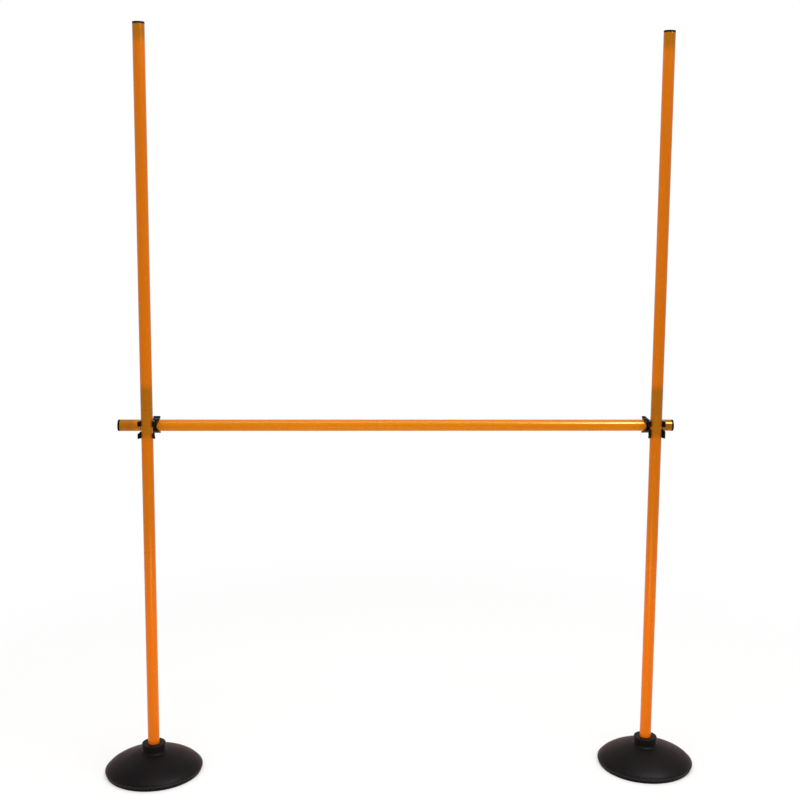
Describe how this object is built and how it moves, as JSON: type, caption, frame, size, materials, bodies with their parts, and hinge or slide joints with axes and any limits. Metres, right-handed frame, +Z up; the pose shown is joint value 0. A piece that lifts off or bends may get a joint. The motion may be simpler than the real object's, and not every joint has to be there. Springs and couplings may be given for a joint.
{
  "type": "agility hurdle",
  "caption": "Free-standing agility hurdle: orange tube posts in heavy rubber bases, with a cross bar in snap clips that slide to any height.",
  "frame": {"origin": "on the floor, midway between the axes of the two posts", "axes": "+Z up along the posts, +X from the left post to the right post, +Y from the posts to the cross bar behind them"},
  "size_m": [1.3, 0.21, 1.6],
  "materials": {
    "tube_plastic": "extruded orange tube, slightly see-through, satin gloss",
    "base_rubber": "moulded black rubber, satin",
    "clip_plastic": "moulded black plastic, satin",
    "cap_plastic": "moulded black plastic, matt",
    "spigot_plastic": "plain black tube"
  },
  "bodies": {
    "left_base": {"left_base": "base_rubber"},
    "left_post": {"left_lower_tube": "tube_plastic", "left_foot_cap": "cap_plastic", "left_spigot": "spigot_plastic"},
    "left_top": {"left_upper_tube": "tube_plastic", "left_top_cap": "cap_plastic"},
    "left_clip": {"left_clip": "clip_plastic"},
    "bar": {"bar_tube": "tube_plastic", "bar_left_cap": "cap_plastic", "bar_right_cap": "cap_plastic"},
    "right_clip": {"right_clip": "clip_plastic"},
    "right_base": {"right_base": "base_rubber"},
    "right_post": {"right_lower_tube": "tube_plastic", "right_foot_cap": "cap_plastic", "right_spigot": "spigot_plastic"},
    "right_top": {"right_upper_tube": "tube_plastic", "right_top_cap": "cap_plastic"}
  },
  "joints": [
    {"name": "left_post_lift", "type": "slide", "parent": "left_base", "child": "left_post", "axis": [0, 0, 1], "range_m": [0, 0.052]},
    {"name": "left_top_lift", "type": "slide", "parent": "left_post", "child": "left_top", "axis": [0, 0, 1], "range_m": [0, 0.036]},
    {"name": "bar_height", "type": "slide", "parent": "left_post", "child": "left_clip", "axis": [0, 0, 1], "range_m": [-0.66, 0.81]},
    {"name": "bar_roll", "type": "hinge", "parent": "left_clip", "child": "bar", "pos_m": [-0.545, 0.0288, 0.764], "axis": [1, 0, 0], "continuous": true},
    {"name": "stand_spacing", "type": "slide", "parent": "left_base", "child": "right_base", "axis": [1, 0, 0], "range_m": [-0.87, 0.018]},
    {"name": "right_clip_on_bar", "type": "slide", "parent": "left_clip", "child": "right_clip", "axis": [1, 0, 0], "range_m": [-0.87, 0.018]},
    {"name": "right_post_lift", "type": "slide", "parent": "right_base", "child": "right_post", "axis": [0, 0, 1], "range_m": [0, 0.052]},
    {"name": "right_top_lift", "type": "slide", "parent": "right_post", "child": "right_top", "axis": [0, 0, 1], "range_m": [0, 0.036]}
  ],
  "couplings": [
    {"joint": "right_clip_on_bar", "follows": "stand_spacing", "ratio": 1}
  ]
}
